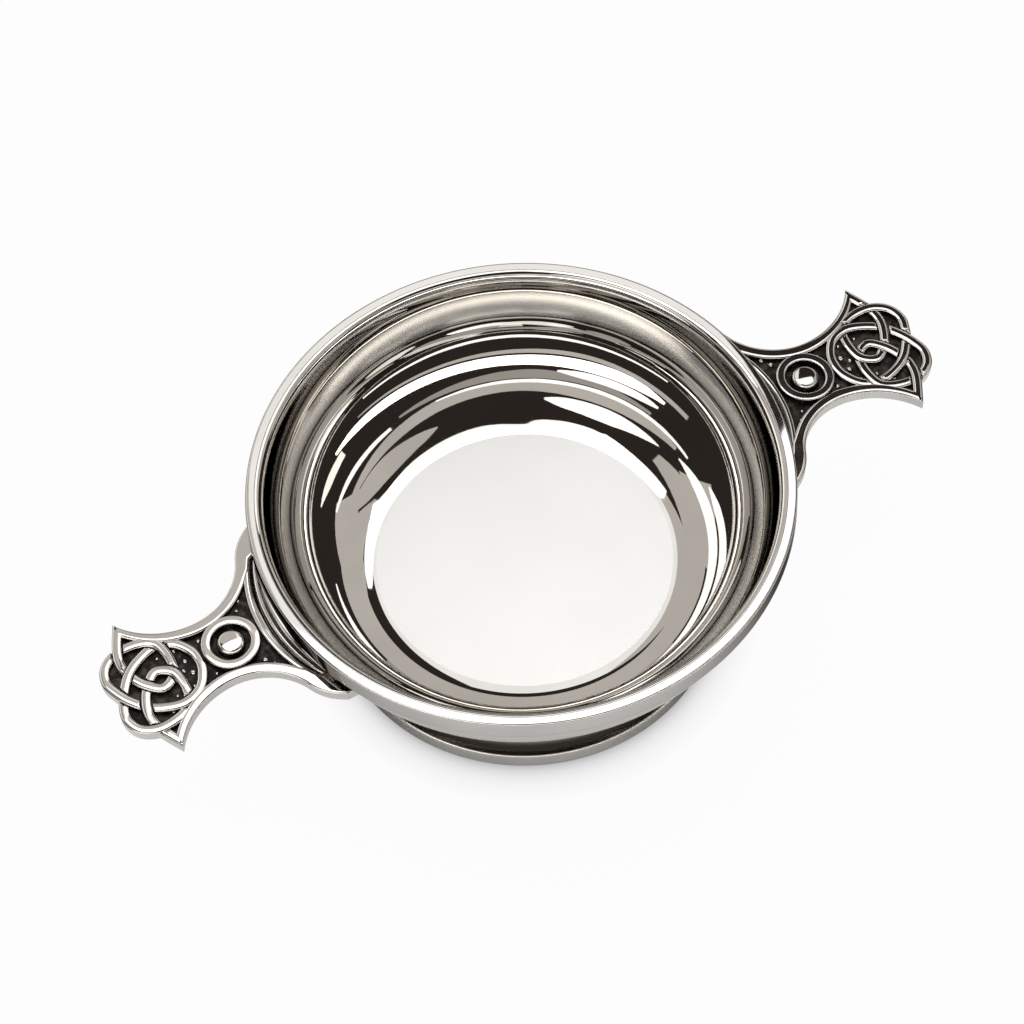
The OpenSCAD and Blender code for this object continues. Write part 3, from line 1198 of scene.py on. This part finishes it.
def rayAt(turn, rise):  # a unit step from the centre, clockwise from straight behind the cup
    return Vector((math.sin(turn) * math.cos(rise), math.cos(turn) * math.cos(rise), math.sin(rise)))


def spread(start, end):  # even steps between two angles
    count = max(2, int(abs(end - start) / studio["panel"]))
    return [math.radians(start + (end - start) * i / count) for i in range(count + 1)]


def tentCard(name, turns, rises, tone, distance):
    # a card between two turns and two heights above the table
    grid = [
        [facing @ rayAt(turn, rise) * distance + studio["centre"] for rise in spread(*rises)]
        for turn in spread(*turns)
    ]
    tentSheet(name, grid, tone)


def mirrored(turn, lean, distance):
    # the place on the tent that the camera sees in the bowl's wall, at one turn and slope of the wall
    turn = math.radians(turn)
    lean = math.radians(lean)
    radius = wallCentre.x + wallRadius * math.sin(lean)
    out = facing @ Vector((math.sin(turn), math.cos(turn), 0))
    spot = (out * radius + Vector((0, 0, lipHeight - wallRadius * math.cos(lean)))) * mm
    normal = Vector((0, 0, math.cos(lean))) - out * math.sin(lean)
    toward = (scene.camera.matrix_world.translation - spot).normalized()
    ray = 2 * normal.dot(toward) * normal - toward
    gap = spot - studio["centre"]
    along = ray.dot(gap)
    return spot + ray * (math.sqrt(along ** 2 - gap.length_squared + distance ** 2) - along)


def tentStrip(name, course, tone, distance):
    # a strip given by its image in the wall: the turn, the slope at its lower edge and at its upper edge
    rows = studio["stripRows"]
    grid = []
    for turn, low, high in smoothCourse([Vector(p) for p in course], studio["stripSteps"]):
        grid.append([mirrored(turn, low + (high - low) * k / rows, distance) for k in range(rows + 1)])
    tentSheet(name, grid, tone)


white = (1.6, 1.57, 1.52)
cream = (1.45, 1.38, 1.29)
lampCream = (3.6, 3.4, 3.1)
pale = (1.15, 1.14, 1.12)
beige = (0.62, 0.58, 0.54)
grey = (0.42, 0.39, 0.36)
dusk = (0.03, 0.024, 0.021)
tentCard("tent", (-180, 180), (0, 90), dusk, studio["tent"])
tentCards = {
    "cardBack": ((-9, 7), (38, 62), pale),
    "cardBackLeft": ((-40, -9), (38, 68), beige),
    "cardBackLow": ((-24, 24), (13, 22), grey),
    "cardLeft": ((-72, -42), (30, 50), beige),
    "cardRight": ((30, 72), (34, 50), beige),
}
first, nearer = studio["cards"]
for i, (name, (turns, rises, tone)) in enumerate(tentCards.items()):
    tentCard(name, turns, rises, tone, first - nearer * i)
tentStrips = {
    "lowWhite": ([(-64, 10.5, 13.2), (-40, 10.5, 15.2), (-12, 10.5, 15.8), (2, 10.5, 13.4), (7, 10.5, 16.2),
                  (25, 10.5, 17.0), (45, 10.5, 15.4), (60, 10.5, 13.4)], white),
    "nearBand": ([(-184, 15.5, 23), (-150, 15.5, 24), (-110, 15, 24.5), (-80, 14.5, 24.5),
                  (-62, 15.5, 17)], beige),
    "rightBand": ([(184, 15.5, 23), (150, 15.5, 23.5), (110, 14.5, 24), (70, 16, 24.5),
                   (52, 19, 23)], beige),
    "leftLens": ([(-71, 23, 23.6), (-62, 18.5, 25), (-48, 17, 25.5), (-34, 19, 24),
                  (-27, 22, 22.6)], beige),
    "rightLens": ([(9, 26, 27), (16, 23, 28), (30, 21.5, 28), (42, 23.5, 27), (50, 25.5, 26)], white),
    "farArc": ([(-78, 24.5, 25), (-60, 25.5, 28), (-40, 27, 31.5), (-20, 29, 34), (0, 29.8, 34.5),
                (20, 29, 34.5), (40, 28.8, 33.5), (55, 29.5, 31)], beige),
    "farLine": ([(-24, 33.2, 33.8), (0, 33.6, 35.2), (20, 33.5, 35.2), (40, 32.8, 34.4),
                 (60, 31, 32)], white),
    "farArcHigh": ([(-36, 34.5, 35.5), (0, 35.6, 39.5), (20, 35.6, 38.8), (42, 34.8, 36)], grey),
    "leftLine": ([(-73, 30.4, 31.2), (-58, 31, 33), (-40, 32.4, 33.8)], white),
    "sideRight": ([(58, 28, 28.6), (70, 26, 30), (90, 25.5, 30), (112, 25, 28.6), (128, 24.8, 27),
                   (142, 24.6, 25.2)], white),
    "sideWindow": ([(72, 32.6, 33.2), (79, 31.2, 34.4), (90, 31, 34.8), (104, 30.4, 34.4),
                    (116, 29.4, 33.4), (128, 28.6, 31.4), (138, 28.4, 29)], white),
    "sideLeft": ([(-150, 25.8, 26.6), (-120, 26.2, 28.4), (-98, 28.4, 29)], white),
    "leftSpot": ([(-74, 38.5, 39), (-66, 37.8, 41), (-56, 39.6, 42.4)], cream),
    "farBand": ([(-58, 43, 44), (-40, 42.4, 46), (0, 42, 46.4), (30, 41.8, 46.4),
                 (44, 42.4, 43.6)], lampCream),
    "rightSpot": ([(12, 39.4, 40.2), (20, 38, 41.2), (36, 38, 41.2), (43, 39, 40)], white),
    "farHigh": ([(-46, 47, 47.6), (0, 47.4, 49.2), (24, 47.2, 49.2), (52, 43.5, 45.5)], beige),
    "topLine": ([(-42, 52.4, 53), (0, 55, 56.4), (42, 52.4, 53)], white),
}
first, nearer = studio["strips"]
for i, (name, (course, tone)) in enumerate(tentStrips.items()):
    tentStrip(name, course, tone, first - nearer * i)

softbox = {"key": 1.55, "across": 1.3, "rise": 67.5, "half": (21.5, 9.1), "roll": -24.0, "distance": 1.3}


def addKey():
    # the large softbox behind the cup, its lower edge dropping to the right
    rise = math.radians(softbox["rise"])
    turn = math.radians(softbox["across"]) / math.cos(rise)
    ray = rayAt(turn, rise)
    across = Vector((math.cos(turn), -math.sin(turn), 0))
    over = across.cross(ray)
    roll = math.radians(softbox["roll"])
    side = math.cos(roll) * across + math.sin(roll) * over
    upper = -math.sin(roll) * across + math.cos(roll) * over
    wide, high = [2 * softbox["distance"] * math.tan(math.radians(h)) for h in softbox["half"]]
    data = bpy.data.lights.new("softbox", "AREA")
    data.shape = "RECTANGLE"
    data.size = wide
    data.size_y = high
    data.energy = softbox["key"] * math.pi * wide * high
    lamp = newObject("softbox", data)
    axes = Matrix((facing @ -side, facing @ upper, facing @ ray)).transposed()
    spot = facing @ ray * softbox["distance"] + studio["centre"]
    lamp.matrix_world = Matrix.Translation(spot) @ axes.to_4x4()
    lamp.visible_camera = False


addKey()


def seenPath(net, straight, shown):  # what the camera sees straight, and what metal and glass show
    path = net.tree.nodes.new("ShaderNodeLightPath")
    camera = Wire(net, path.outputs["Is Camera Ray"])
    mirrors = Wire(net, path.outputs["Is Glossy Ray"]) + Wire(net, path.outputs["Is Transmission Ray"])
    return net.node("ShaderNodeClamp", None, {0: straight * camera + shown * mirrors})


paper = {
    "reach": 6.0,
    "low": -0.00003,
    "tone": (0.7, 0.7, 0.7, 1.0),
    "shadow": 8.0,  # how far from the foot the painted contact shadow runs
    "samples": 16,
    "straight": 0.95,
    "mirrored": 0.22,
}


def addFloor():
    mesh = bpy.data.meshes.new("floor")
    far = paper["reach"]
    corners = [(x, y, paper["low"]) for x, y in ((-far, -far), (far, -far), (far, far), (-far, far))]
    mesh.from_pydata(corners, [], [(0, 1, 2, 3)])
    material, net = newFinish("paperFloor")
    plain = net.node(
        "ShaderNodeBsdfPrincipled",
        None,
        {"Base Color": paper["tone"], "Roughness": 1.0, "Specular IOR Level": 0.0},
    )
    # painted contact shadow: ambient occlusion darkens the floor's glow near the cup
    near = net.node(
        "ShaderNodeAmbientOcclusion",
        {"samples": paper["samples"]},
        {"Distance": paper["shadow"] * mm},
        output="AO",
    )
    shine = glowing(net, net.blend(near, (0, 0, 0, 1), (1, 1, 1, 1)))
    seen = seenPath(net, paper["straight"], paper["mirrored"])
    closeFinish(net, net.node("ShaderNodeMixShader", None, {0: seen, 1: plain, 2: shine}))
    material.cycles.emission_sampling = "NONE"
    mesh.materials.append(material)
    newObject("floor", mesh)


addFloor()


def addWorld():
    world = bpy.data.worlds.new("whiteRoom")
    scene.world = world
    world.use_nodes = True
    world.node_tree.nodes.clear()
    net = Net(world.node_tree)
    seen = seenPath(net, 1.0, 1.0)
    strength = net.node(
        "ShaderNodeMapRange", None, {"Value": seen, "To Min": studio["light"], "To Max": 1.0}
    )
    sky = net.node("ShaderNodeBackground", None, {"Color": (1, 1, 1, 1), "Strength": strength})
    net.node("ShaderNodeOutputWorld", None, {"Surface": sky})


addWorld()
print("studio made")
